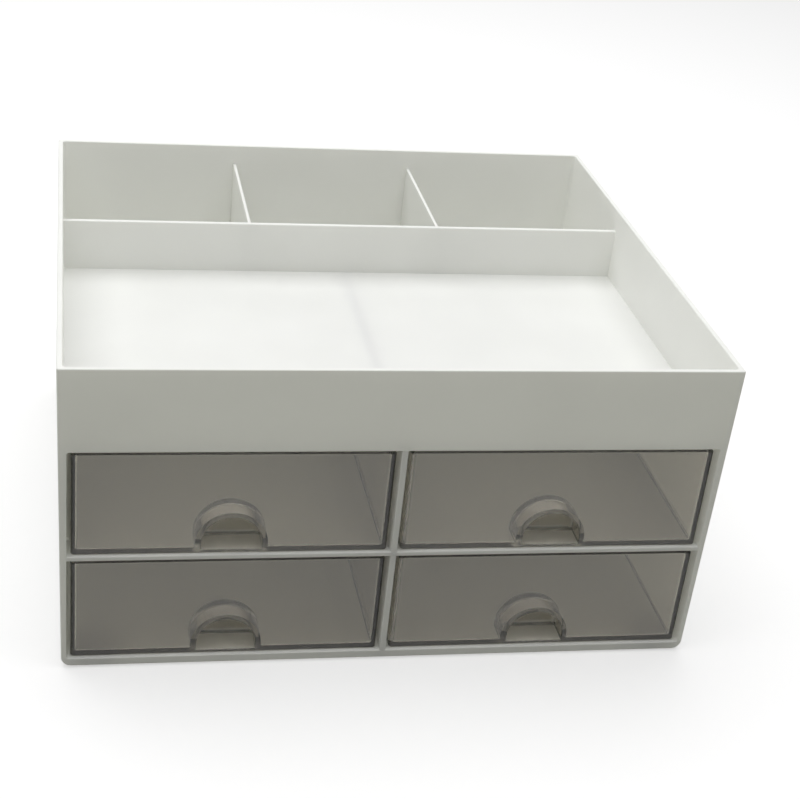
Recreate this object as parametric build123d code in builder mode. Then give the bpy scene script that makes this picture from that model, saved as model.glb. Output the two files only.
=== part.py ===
from build123d import *
import os

# Desktop mini drawers: a white moulded casing with an open tray and three deep
# compartments on top, and two rows of two smoked clear drawers in its front.
# +X is to the right, the drawers open towards -Y, +Z is up.
# The origin is on the table, below the middle of the top rim. Millimetres.

# Overall size
overall_width = 260.0
overall_depth = 236.0
overall_height = 133.0

# Casing
wall = 2.2  # rim, front panel and cross wall
wall_lean = 1.6  # draft of the left, right and back walls, from rim to base
edge_corner_radius = 1.0  # upright outer corners
base_corner_radius = 4.0  # long lower edges, left and right
pocket_radius = 1.6  # upright corners inside the tray and the compartments
rim_rounding = 0.5
base_floor = 2.2
base_skirt = 1.5  # how far the base reaches below its floor
skirt_width = 8.0
foot_block = 24.0  # solid corner of the base, over a foot
bay_depth = 158.0
bay_height = 46.1  # clear height of each drawer bay
bay_corner_radius = 1.0
post = 3.6  # front edge of the casing beside the bays, from the rim's side
tray_floor = 2.2
tray_depth = 32.4
cross_wall_drop = 9.3  # cross wall and dividers below the rim

# Plates between the bays
shelf_thickness = 1.8
partition_thickness = 2.4
plate_fit = 0.05  # play of a plate in its slot or between its ribs
plate_rounding = 0.3  # front edges of the plates and of the bays
rib_height = 1.6
rib_width = 1.0
rib_setback = 12.0  # ribs start this far behind the front edge

# Dividers of the three rear compartments
divider_thickness = 1.4
divider_seat = 0.5  # depth of the upright grooves that hold a divider
left_divider_x = -45.0
right_divider_x = 41.8

# Drawers
drawer_recess = 1.5  # drawer front behind the casing's front edge
drawer_side_gap = 1.5
drawer_top_gap = 2.0
drawer_slide_gap = 0.3  # under the drawer
drawer_back_gap = 0.5
drawer_front = 2.2
drawer_wall = 1.6
drawer_floor = 1.2
drawer_corner_radius = 1.5
drawer_inner_radius = 1.0
drawer_rounding = 0.4

# Finger pocket in the middle of each drawer front: an arched niche on the drawer's floor
pocket_half_width = 11.8
pocket_height = 15.6  # from the drawer's underside to the top of the arch
pocket_reach = 13.0  # from the drawer's front face to the hood's back face
pocket_wall = 1.5  # top and back of the hood
pocket_side_wall = 2.4
pocket_rounding = 0.5
pocket_end_radius = 2.0  # where the pocket's back meets its floor and its arch

# Feet
foot_size = 16.0
foot_proud = 0.7
foot_seat = 0.5
foot_inset = 1.5  # from the front or back edge of the base
foot_fit = 0.2
foot_radius = 3.0
foot_rounding = 0.3

# Levels and places worked out from the sizes above
front = -overall_depth / 2
back = overall_depth / 2
side = overall_width / 2
base_bottom = foot_proud
base_top = base_bottom + base_skirt + base_floor
shelf_bottom = base_top + bay_height
shelf_top = shelf_bottom + shelf_thickness
bay_top = shelf_top + bay_height
tray_level = overall_height - tray_depth
cross_top = overall_height - cross_wall_drop
cross_front = front + bay_depth
cross_back = cross_front + wall
bay_side = side - post
floor_under_tray = tray_level - tray_floor


def lean(level):
    """How far the leaning walls stand in from the rim's line at a level."""
    return wall_lean * (overall_height - level) / (overall_height - base_bottom)


def plan(level, inset, y_front, radius=0.0, rounded="all"):
    """Outline of the casing at a level, inset from its leaning sides and back."""
    y_back = back - lean(level) - inset
    width = overall_width - 2 * (lean(level) + inset)
    with BuildSketch(Plane.XY.offset(level)) as outline:
        with Locations((0, (y_front + y_back) / 2)):
            Rectangle(width, y_back - y_front)
        if radius > 0:
            corners = outline.vertices()
            if rounded == "back":
                corners = corners.group_by(Axis.Y)[-1]
            fillet(corners, radius)
    return outline.sketch


def box_between(x, y, z, mode=Mode.ADD):
    """A plain block between two values on each axis."""
    with Locations(((x[0] + x[1]) / 2, (y[0] + y[1]) / 2, (z[0] + z[1]) / 2)):
        Box(x[1] - x[0], y[1] - y[0], z[1] - z[0], mode=mode)


# Each divider and where it stands
divider_places = {"divider_left": left_divider_x, "divider_right": right_divider_x}


def divider_outline(reach):
    """Side outline of a divider: upright at the cross wall, leaning at the back wall.

    reach is how far it enters the grooves at its two ends."""
    low_back = back - lean(base_top) - wall + reach
    high_back = back - lean(cross_top) - wall + reach
    with BuildSketch() as outline:
        with BuildLine():
            Polyline(
                (cross_back - reach, base_top),
                (low_back, base_top),
                (high_back, cross_top),
                (cross_back - reach, cross_top),
                close=True,
            )
        make_face()
    return outline.sketch_local


# Feet stand under the solid corners of the base
foot_x = side - lean(base_bottom) - base_corner_radius - foot_size / 2
foot_front_y = front + foot_inset + foot_size / 2
foot_back_y = back - lean(base_bottom) - foot_inset - foot_size / 2
foot_places = {
    "foot_front_left": (-foot_x, foot_front_y),
    "foot_front_right": (foot_x, foot_front_y),
    "foot_rear_left": (-foot_x, foot_back_y),
    "foot_rear_right": (foot_x, foot_back_y),
}

# Casing: one moulding with the outer walls, front panel, tray floor, cross wall
# and base. The left, right and back walls have draft; the front is upright,
# because the drawer bays are cored from that side.
with BuildPart() as casing:
    loft([plan(base_bottom, 0, front), plan(overall_height, 0, front)], ruled=True)
    fillet(casing.edges().filter_by(Axis.Y).group_by(Axis.Z)[0], base_corner_radius)
    uprights = casing.edges().filter_by(lambda e: abs(e.tangent_at(0.5).Z) > 0.9)
    fillet(uprights, edge_corner_radius)

    # Open top: the tray, and the upper part of the compartments behind it
    inner_front = front + wall
    loft(
        [
            plan(tray_level, wall, inner_front, pocket_radius),
            plan(overall_height, wall, inner_front, pocket_radius),
        ],
        ruled=True,
        mode=Mode.SUBTRACT,
    )

    # Deep part of the compartments, down to the base
    loft(
        [
            plan(base_top, wall, cross_back, pocket_radius, "back"),
            plan(tray_level, wall, cross_back, pocket_radius, "back"),
        ],
        ruled=True,
        mode=Mode.SUBTRACT,
    )

    # Cross wall between the tray and the compartments, with a rounded top
    wall_foot = tray_level - tray_floor / 2
    with BuildSketch(Plane.YZ) as cross_wall:
        with Locations(((cross_front + cross_back) / 2, (wall_foot + cross_top) / 2)):
            Rectangle(wall, cross_top - wall_foot)
        fillet(cross_wall.vertices().group_by(Axis.Y)[-1], rim_rounding)
    extrude(amount=side - lean(tray_level) - wall / 2, both=True)

    # Drawer bays, open at the front
    with BuildSketch(Plane.XZ.offset(-front)):
        with Locations((0, (base_top + bay_top) / 2)):
            RectangleRounded(2 * bay_side, bay_top - base_top, bay_corner_radius)
    extrude(amount=-bay_depth, mode=Mode.SUBTRACT)

    # Ribs that carry and keep the shelf, along both side walls
    rib_y = (front + rib_setback, cross_front)
    for x in ((-bay_side, -bay_side + rib_width), (bay_side - rib_width, bay_side)):
        box_between(x, rib_y, (shelf_bottom - rib_height, shelf_bottom))
        box_between(x, rib_y, (shelf_top, shelf_top + rib_height))

    # Ribs each side of the partition, on the base and below the tray
    rib_start = partition_thickness / 2 + plate_fit
    for x in ((-rib_start - rib_width, -rib_start), (rib_start, rib_start + rib_width)):
        box_between(x, rib_y, (base_top, base_top + rib_height))
        box_between(x, rib_y, (bay_top - rib_height, bay_top))

    # Upright grooves for the dividers
    for x in divider_places.values():
        groove = divider_thickness + 2 * plate_fit
        with BuildSketch(Plane.YZ.offset(x)):
            add(divider_outline(divider_seat))
        extrude(amount=groove / 2, both=True, mode=Mode.SUBTRACT)

    # Hollow under the base, which leaves a skirt and a solid corner over each foot
    half_width = side - lean(base_bottom)
    base_back = back - lean(base_bottom)
    skirt = (base_bottom, base_bottom + base_skirt)
    box_between(
        (-half_width + foot_block, half_width - foot_block),
        (front + skirt_width, base_back - skirt_width),
        skirt,
        Mode.SUBTRACT,
    )
    box_between(
        (-half_width + skirt_width, half_width - skirt_width),
        (front + foot_block, base_back - foot_block),
        skirt,
        Mode.SUBTRACT,
    )

    # Seats of the feet
    seat_size = foot_size + 2 * foot_fit
    with BuildSketch(Plane.XY.offset(base_bottom)):
        with Locations(*foot_places.values()):
            RectangleRounded(seat_size, seat_size, foot_radius + foot_fit)
    extrude(amount=foot_seat, mode=Mode.SUBTRACT)

    # Softened front edges of the bays
    mouth = casing.edges().filter_by(
        lambda e: abs(e.center().Y - front) < plate_rounding
        and abs(e.center().X) < side - wall
        and base_bottom + base_skirt < e.center().Z < floor_under_tray + tray_floor / 2
    )
    fillet(mouth, plate_rounding)

    # Softened rim
    rim_face = casing.faces().filter_by(Axis.Z).sort_by(Axis.Z)[-1]
    fillet(rim_face.edges(), rim_rounding)

casing.part.label = "casing"

# Shelf between the two rows: a flat plate, slotted from behind where the
# partition passes through it.
with BuildPart() as mid_shelf:
    box_between(
        (-bay_side + plate_fit, bay_side - plate_fit),
        (front, cross_front),
        (shelf_bottom, shelf_top),
    )
    slot = partition_thickness / 2 + plate_fit
    box_between(
        (-slot, slot),
        (front + bay_depth / 2, cross_front),
        (shelf_bottom, shelf_top),
        Mode.SUBTRACT,
    )
    front_edges = mid_shelf.edges().filter_by(Axis.X).group_by(Axis.Y)[0]
    fillet(front_edges, plate_rounding)

mid_shelf.part.label = "mid_shelf"

# Partition between the left and right drawers: a plate the full height of the
# bays, slotted from the front where the shelf passes through it.
with BuildPart() as centre_partition:
    half_plate = partition_thickness / 2
    box_between((-half_plate, half_plate), (front, cross_front), (base_top, bay_top))
    box_between(
        (-half_plate, half_plate),
        (front, front + bay_depth / 2),
        (shelf_bottom, shelf_top),
        Mode.SUBTRACT,
    )
    front_edges = centre_partition.edges().filter_by(Axis.Z).group_by(Axis.Y)[0]
    fillet(front_edges, plate_rounding)

centre_partition.part.label = "centre_partition"

# Dividers of the rear compartments, one plate each, sprung into their grooves
dividers = []
for name, x in divider_places.items():
    with BuildPart() as divider:
        with BuildSketch(Plane.YZ.offset(x)):
            add(divider_outline(divider_seat - plate_fit))
        extrude(amount=divider_thickness / 2, both=True)
        top_edges = divider.edges().filter_by(Axis.Y).group_by(Axis.Z)[-1]
        fillet(top_edges, plate_rounding)
    divider.part.label = name
    dividers.append(divider)

# Drawers: four alike, each one clear smoked moulding with a finger pocket
bay_width = bay_side - partition_thickness / 2
bay_middle = (bay_side + partition_thickness / 2) / 2
drawer_width = bay_width - 2 * drawer_side_gap
drawer_length = bay_depth - drawer_recess - drawer_back_gap
drawer_height = bay_height - drawer_slide_gap - drawer_top_gap
drawer_y = front + drawer_recess
drawer_places = {
    "drawer_upper_left": (-bay_middle, shelf_top + drawer_slide_gap),
    "drawer_upper_right": (bay_middle, shelf_top + drawer_slide_gap),
    "drawer_lower_left": (-bay_middle, base_top + drawer_slide_gap),
    "drawer_lower_right": (bay_middle, base_top + drawer_slide_gap),
}


def arch(x, half_width, foot, top, y):
    """Outline with upright sides below a half circle, on an upright plane at y."""
    spring = top - half_width
    with BuildSketch(Plane.XZ.offset(-y)) as outline:
        with BuildLine():
            Line((x - half_width, foot), (x - half_width, spring))
            ThreePointArc((x - half_width, spring), (x, top), (x + half_width, spring))
            Line((x + half_width, spring), (x + half_width, foot))
            Line((x + half_width, foot), (x - half_width, foot))
        make_face()
    return outline.sketch


drawers = []
for name, (x, z) in drawer_places.items():
    with BuildPart() as drawer:
        # Outside
        with BuildSketch(Plane.XY.offset(z)):
            with Locations((x, drawer_y + drawer_length / 2)):
                RectangleRounded(drawer_width, drawer_length, drawer_corner_radius)
        extrude(amount=drawer_height)
        fillet(drawer.faces().sort_by(Axis.Z)[0].edges(), drawer_rounding)

        # Inside
        inner_length = drawer_length - drawer_front - drawer_wall
        inner_middle = drawer_y + drawer_front + inner_length / 2
        with BuildSketch(Plane.XY.offset(z + drawer_floor)):
            with Locations((x, inner_middle)):
                RectangleRounded(
                    drawer_width - 2 * drawer_wall, inner_length, drawer_inner_radius
                )
        extrude(amount=drawer_height, mode=Mode.SUBTRACT)
        inner_floor = drawer.faces().filter_by(Axis.Z).sort_by(Axis.Z)[1]
        fillet(inner_floor.edges(), drawer_inner_radius)
        fillet(drawer.faces().sort_by(Axis.Z)[-1].edges(), drawer_rounding)

        # Finger pocket: a hood that stands on the floor, then its hollow
        hood_start = drawer_front / 2
        hood_foot = z + drawer_floor / 2
        hood_width = pocket_half_width + pocket_side_wall
        hood_top = z + pocket_height + pocket_wall
        hood = arch(x, hood_width, hood_foot, hood_top, drawer_y + hood_start)
        extrude(hood, amount=-(pocket_reach - hood_start))
        hood_back = drawer_y + pocket_reach
        hood_edges = drawer.edges().filter_by(
            lambda e: abs(e.center().Y - hood_back) < drawer_rounding
            and e.center().Z > z + drawer_floor + drawer_rounding
        )
        fillet(hood_edges, pocket_rounding)
        hollow_foot = z + drawer_floor
        hollow_top = z + pocket_height
        hollow = arch(x, pocket_half_width, hollow_foot, hollow_top, drawer_y)
        extrude(hollow, amount=-(pocket_reach - pocket_wall), mode=Mode.SUBTRACT)
        pocket_end = hood_back - pocket_wall
        end_edges = drawer.edges().filter_by(
            lambda e: abs(e.center().Y - pocket_end) < drawer_rounding / 2
            and abs(e.center().X - x) <= pocket_half_width + drawer_rounding
            and hollow_foot - drawer_rounding < e.center().Z < hollow_top + drawer_rounding
        )
        fillet(end_edges, pocket_end_radius)
        mouth = drawer.edges().filter_by(
            lambda e: abs(e.center().Y - drawer_y) < drawer_rounding
            and abs(e.center().X - x) < hood_width
            and e.center().Z > hollow_foot - drawer_rounding
            and e.center().Z < hollow_top + drawer_rounding
        )
        fillet(mouth, pocket_rounding)
    drawer.part.label = name
    drawers.append(drawer)

# Feet: four soft pads, seated in the base
feet = []
for name, place in foot_places.items():
    with BuildPart() as foot:
        with BuildSketch(Plane.XY):
            with Locations(place):
                RectangleRounded(foot_size, foot_size, foot_radius)
        extrude(amount=foot_proud + foot_seat)
        fillet(foot.faces().sort_by(Axis.Z)[0].edges(), foot_rounding)
    foot.part.label = name
    feet.append(foot)

os.makedirs("parts", exist_ok=True)
for piece in [casing, mid_shelf, centre_partition] + dividers + drawers + feet:
    export_step(piece.part, "parts/" + piece.part.label + ".step")
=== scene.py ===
import bpy
import numpy as np
from mathutils import Matrix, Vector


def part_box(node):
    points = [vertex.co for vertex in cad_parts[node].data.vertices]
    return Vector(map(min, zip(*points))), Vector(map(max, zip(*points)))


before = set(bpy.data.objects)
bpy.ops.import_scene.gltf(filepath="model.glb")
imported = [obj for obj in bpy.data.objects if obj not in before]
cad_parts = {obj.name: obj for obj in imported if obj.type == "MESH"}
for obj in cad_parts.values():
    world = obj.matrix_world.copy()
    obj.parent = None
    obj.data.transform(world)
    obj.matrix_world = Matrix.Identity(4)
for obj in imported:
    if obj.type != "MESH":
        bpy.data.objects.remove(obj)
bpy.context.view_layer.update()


# Casing: the box itself, with its open tray, deep rear compartments and drawer bays.
# One thin-walled injection moulding in white polystyrene, satin from a finely spark-eroded
# tool. The shelf, partition and dividers are thin plates of the same plastic, pushed in.


def link(tree, source, target):
    """Join one socket to another."""
    tree.links.new(source, target)


def moulded_skin():
    """Node group for what a mould leaves on plastic: three noises on Object coordinates.

    Mottle is a slow change of finish over centimetres, Grain the tool's fine texture,
    and Sink the slight waviness of a thin wall that shrank as it cooled."""
    group = bpy.data.node_groups.new("moulded skin", "ShaderNodeTree")
    face = group.interface
    for name, size in (("Mottle Size", 0.03), ("Grain Size", 0.0006), ("Sink Size", 0.05)):
        socket = face.new_socket(name, in_out="INPUT", socket_type="NodeSocketFloat")
        socket.default_value = size
    for name in ("Mottle", "Grain", "Sink"):
        face.new_socket(name, in_out="OUTPUT", socket_type="NodeSocketFloat")
    entry = group.nodes.new("NodeGroupInput")
    leave = group.nodes.new("NodeGroupOutput")
    place = group.nodes.new("ShaderNodeTexCoord")
    for name, detail in (("Mottle", 4.0), ("Grain", 1.0), ("Sink", 0.0)):
        scale = group.nodes.new("ShaderNodeMath")
        scale.operation = "DIVIDE"
        scale.inputs[0].default_value = 1.0
        link(group, entry.outputs[name + " Size"], scale.inputs[1])
        noise = group.nodes.new("ShaderNodeTexNoise")
        noise.inputs["Detail"].default_value = detail
        link(group, place.outputs["Object"], noise.inputs["Vector"])
        link(group, scale.outputs["Value"], noise.inputs["Scale"])
        link(group, noise.outputs["Fac"], leave.inputs[name])
    return group


skin = moulded_skin()


def plastic(name, mottle, grain, sink):
    """A new material with a Principled shader and a moulded skin.

    The three sizes of the skin are in metres."""
    material = bpy.data.materials.new(name)
    material.use_nodes = True
    tree = material.node_tree
    surface = tree.nodes["Principled BSDF"]
    marks = tree.nodes.new("ShaderNodeGroup")
    marks.node_tree = skin
    marks.inputs["Mottle Size"].default_value = mottle
    marks.inputs["Grain Size"].default_value = grain
    marks.inputs["Sink Size"].default_value = sink
    return material, tree, surface, marks


noise_low, noise_high = 0.3, 0.7  # the span that most of a noise keeps to


def between(tree, mask, low, high):
    """A value that runs from low to high as a noise runs over its usual span."""
    span = tree.nodes.new("ShaderNodeMapRange")
    span.inputs["From Min"].default_value = noise_low
    span.inputs["From Max"].default_value = noise_high
    span.inputs["To Min"].default_value = low
    span.inputs["To Max"].default_value = high
    link(tree, mask, span.inputs["Value"])
    return span.outputs["Result"]


def raised(tree, surface, heights):
    """Bumps in a row that end in the shader's normal.

    Each is a pair: the noise that gives its height, and its depth in metres."""
    normal = None
    for height, depth in heights:
        bump = tree.nodes.new("ShaderNodeBump")
        bump.inputs["Strength"].default_value = 1.0
        bump.inputs["Distance"].default_value = depth
        link(tree, height, bump.inputs["Height"])
        if normal is not None:
            link(tree, normal, bump.inputs["Normal"])
        normal = bump.outputs["Normal"]
    link(tree, normal, surface.inputs["Normal"])


white_plastic, tree, surface, marks = plastic(
    "white moulded plastic", mottle=0.035, grain=0.0008, sink=0.06
)
tint = tree.nodes.new("ShaderNodeValToRGB")
darkest, palest = tint.color_ramp.elements
darkest.position = noise_low
darkest.color = (0.86, 0.865, 0.858, 1)
palest.position = noise_high
palest.color = (0.885, 0.89, 0.884, 1)
link(tree, marks.outputs["Mottle"], tint.inputs["Fac"])
link(tree, tint.outputs["Color"], surface.inputs["Base Color"])
satin = between(tree, marks.outputs["Mottle"], low=0.34, high=0.46)
link(tree, satin, surface.inputs["Roughness"])
raised(tree, surface, [(marks.outputs["Sink"], 0.00012), (marks.outputs["Grain"], 0.000006)])
surface.inputs["IOR"].default_value = 1.5

# The walls are thin enough to glow a little: a share of the light comes through them,
# slightly yellow, and lights the drawer bays.
share_through = 0.22
through = tree.nodes.new("ShaderNodeBsdfTranslucent")
through.inputs["Color"].default_value = (1.0, 1.0, 0.92, 1)
thin = tree.nodes.new("ShaderNodeMixShader")
thin.inputs["Fac"].default_value = share_through
link(tree, surface.outputs["BSDF"], thin.inputs[1])
link(tree, through.outputs["BSDF"], thin.inputs[2])
link(tree, thin.outputs["Shader"], tree.nodes["Material Output"].inputs["Surface"])

for name in ("casing", "mid_shelf", "centre_partition", "divider_left", "divider_right"):
    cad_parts[name].data.materials[0] = white_plastic


# Drawers: four alike, each one thin-walled injection moulding in see-through smoke grey
# polystyrene, polished but for its underside. Nothing is fixed to them: they slide on the
# plastic of the casing, and the finger pocket is part of the same moulding.
smoked_plastic, tree, surface, marks = plastic(
    "smoked clear plastic", mottle=0.02, grain=0.002, sink=0.035
)
surface.inputs["Base Color"].default_value = (1.0, 0.975, 0.93, 1)
surface.inputs["Transmission Weight"].default_value = 0.97
surface.inputs["IOR"].default_value = 1.52
raised(tree, surface, [(marks.outputs["Sink"], 0.00008)])

# The underside is matt, so the edge of the floor does not go black at the front. It is
# found by its height above the foot of its own row of drawers.
underside_skin = 0.0003
underside_roughness = 0.3
lower_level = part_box("drawer_lower_left")[0][2]
upper_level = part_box("drawer_upper_left")[0][2]
place = tree.nodes.new("ShaderNodeTexCoord")
split = tree.nodes.new("ShaderNodeSeparateXYZ")
link(tree, place.outputs["Object"], split.inputs["Vector"])
value = split.outputs["Z"]
for operation, number in (
    ("SUBTRACT", lower_level),
    ("MODULO", upper_level - lower_level),
    ("LESS_THAN", underside_skin),
    ("MULTIPLY", underside_roughness),
):
    step = tree.nodes.new("ShaderNodeMath")
    step.operation = operation
    step.inputs[1].default_value = number
    link(tree, value, step.inputs[0])
    value = step.outputs["Value"]
rougher = tree.nodes.new("ShaderNodeMath")
rougher.operation = "MAXIMUM"
link(tree, value, rougher.inputs[0])
polish = between(tree, marks.outputs["Mottle"], low=0.02, high=0.07)
link(tree, polish, rougher.inputs[1])
link(tree, rougher.outputs["Value"], surface.inputs["Roughness"])

# The smoke is in the plastic itself: the more of it the light crosses, the darker it is.
smoke = tree.nodes.new("ShaderNodeVolumeAbsorption")
smoke.inputs["Color"].default_value = (0.28, 0.24, 0.17, 1)
smoke.inputs["Density"].default_value = 35.0
link(tree, smoke.outputs["Volume"], tree.nodes["Material Output"].inputs["Volume"])

for name in (
    "drawer_upper_left",
    "drawer_upper_right",
    "drawer_lower_left",
    "drawer_lower_right",
):
    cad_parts[name].data.materials[0] = smoked_plastic


# Feet: four square pads of pale closed-cell foam rubber, die-cut with rounded corners
# and stuck into shallow seats under the corners of the base.
foam_rubber, tree, surface, marks = plastic(
    "pale foam rubber", mottle=0.008, grain=0.0005, sink=0.02
)
surface.inputs["Base Color"].default_value = (0.76, 0.76, 0.74, 1)
dull = between(tree, marks.outputs["Mottle"], low=0.7, high=0.85)
link(tree, dull, surface.inputs["Roughness"])
raised(tree, surface, [(marks.outputs["Grain"], 0.00003)])

for name in ("foot_front_left", "foot_front_right", "foot_rear_left", "foot_rear_right"):
    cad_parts[name].data.materials[0] = foam_rubber


# Ground and light: a pale seamless sheet under the box and one broad soft lamp overhead.
# The sheet and the room are white to the eye and to reflections, and the sheet still
# darkens where the box shades it.
sheet_mesh = bpy.data.meshes.new("sheet")
reach = 8.0
sheet_mesh.from_pydata(
    [(-reach, -reach, 0), (reach, -reach, 0), (reach, reach, 0), (-reach, reach, 0)],
    [],
    [(0, 1, 2, 3)],
)
sheet = bpy.data.objects.new("sheet", sheet_mesh)
bpy.context.scene.collection.objects.link(sheet)


def seen(tree):
    """1 for rays that come from the eye, a reflection or through glass, otherwise 0."""
    path = tree.nodes.new("ShaderNodeLightPath")
    total = path.outputs["Is Camera Ray"]
    for name in ("Is Glossy Ray", "Is Transmission Ray"):
        either = tree.nodes.new("ShaderNodeMath")
        either.operation = "MAXIMUM"
        link(tree, total, either.inputs[0])
        link(tree, path.outputs[name], either.inputs[1])
        total = either.outputs["Value"]
    return total


paper = bpy.data.materials.new("pale paper")
paper.use_nodes = True
tree = paper.node_tree
tree.nodes.remove(tree.nodes["Principled BSDF"])
plain = tree.nodes.new("ShaderNodeBsdfDiffuse")
plain.inputs["Color"].default_value = (0.29, 0.29, 0.24, 1)
bright = tree.nodes.new("ShaderNodeBsdfDiffuse")
bright.inputs["Color"].default_value = (0.6, 0.6, 0.6, 1)
glow = tree.nodes.new("ShaderNodeEmission")
glow.inputs["Strength"].default_value = 0.5
both = tree.nodes.new("ShaderNodeAddShader")
link(tree, bright.outputs["BSDF"], both.inputs[0])
link(tree, glow.outputs["Emission"], both.inputs[1])
choice = tree.nodes.new("ShaderNodeMixShader")
link(tree, seen(tree), choice.inputs["Fac"])
link(tree, plain.outputs["BSDF"], choice.inputs[1])
link(tree, both.outputs["Shader"], choice.inputs[2])
link(tree, choice.outputs["Shader"], tree.nodes["Material Output"].inputs["Surface"])
sheet_mesh.materials.append(paper)

strength_on_box = 0.25
strength_seen = 1.0
room = bpy.data.worlds.new("room")
room.use_nodes = True
tree = room.node_tree
white = tree.nodes["Background"]
strength = tree.nodes.new("ShaderNodeMapRange")
strength.inputs["To Min"].default_value = strength_on_box
strength.inputs["To Max"].default_value = strength_seen
link(tree, seen(tree), strength.inputs["Value"])
link(tree, strength.outputs["Result"], white.inputs["Strength"])
white.inputs["Color"].default_value = (1, 1, 1, 1)
bpy.context.scene.world = room

lamp_data = bpy.data.lights.new("overhead lamp", "AREA")
lamp_data.shape = "RECTANGLE"
lamp_data.size = 1.6
lamp_data.size_y = 1.4
lamp_data.energy = 17.3
lamp = bpy.data.objects.new("overhead lamp", lamp_data)
lamp.location = (-0.15, 0.2, 1.2)
bpy.context.scene.collection.objects.link(lamp)


# Camera: half a metre in front of the box, looking down on it and a little to the right,
# and slightly tilted. Angles are in radians, the eye's place is in metres.
pitch, yaw, roll = 0.49630, 0.20701, 0.10021
eye = (-0.12683, -0.62840, 0.40322)
ahead = np.array(
    [np.sin(yaw) * np.cos(pitch), np.cos(yaw) * np.cos(pitch), -np.sin(pitch)]
)
level = np.array([np.cos(yaw), -np.sin(yaw), 0.0])
upright = np.cross(level, ahead)
right = np.cos(roll) * level + np.sin(roll) * upright
up = np.cos(roll) * upright - np.sin(roll) * level
stand = np.eye(4)
stand[:3, 0], stand[:3, 1], stand[:3, 2], stand[:3, 3] = right, up, -ahead, eye

picture_width = 800  # in pixels, as is the focal length
focal_length = 1604.48
lens = bpy.data.cameras.new("camera")
lens.sensor_width = 36.0
lens.lens = focal_length / picture_width * lens.sensor_width
lens.shift_x = 0.05
camera = bpy.data.objects.new("camera", lens)
camera.matrix_world = Matrix(stand.tolist())
bpy.context.scene.collection.objects.link(camera)
bpy.context.scene.camera = camera

bpy.context.scene.view_settings.view_transform = "Standard"

# Light crosses several clear walls and comes back many times from the white bays, so it
# is followed for more bounces than usual.
bpy.context.scene.cycles.max_bounces = 20
bpy.context.scene.cycles.diffuse_bounces = 10
bpy.context.scene.cycles.transmission_bounces = 20
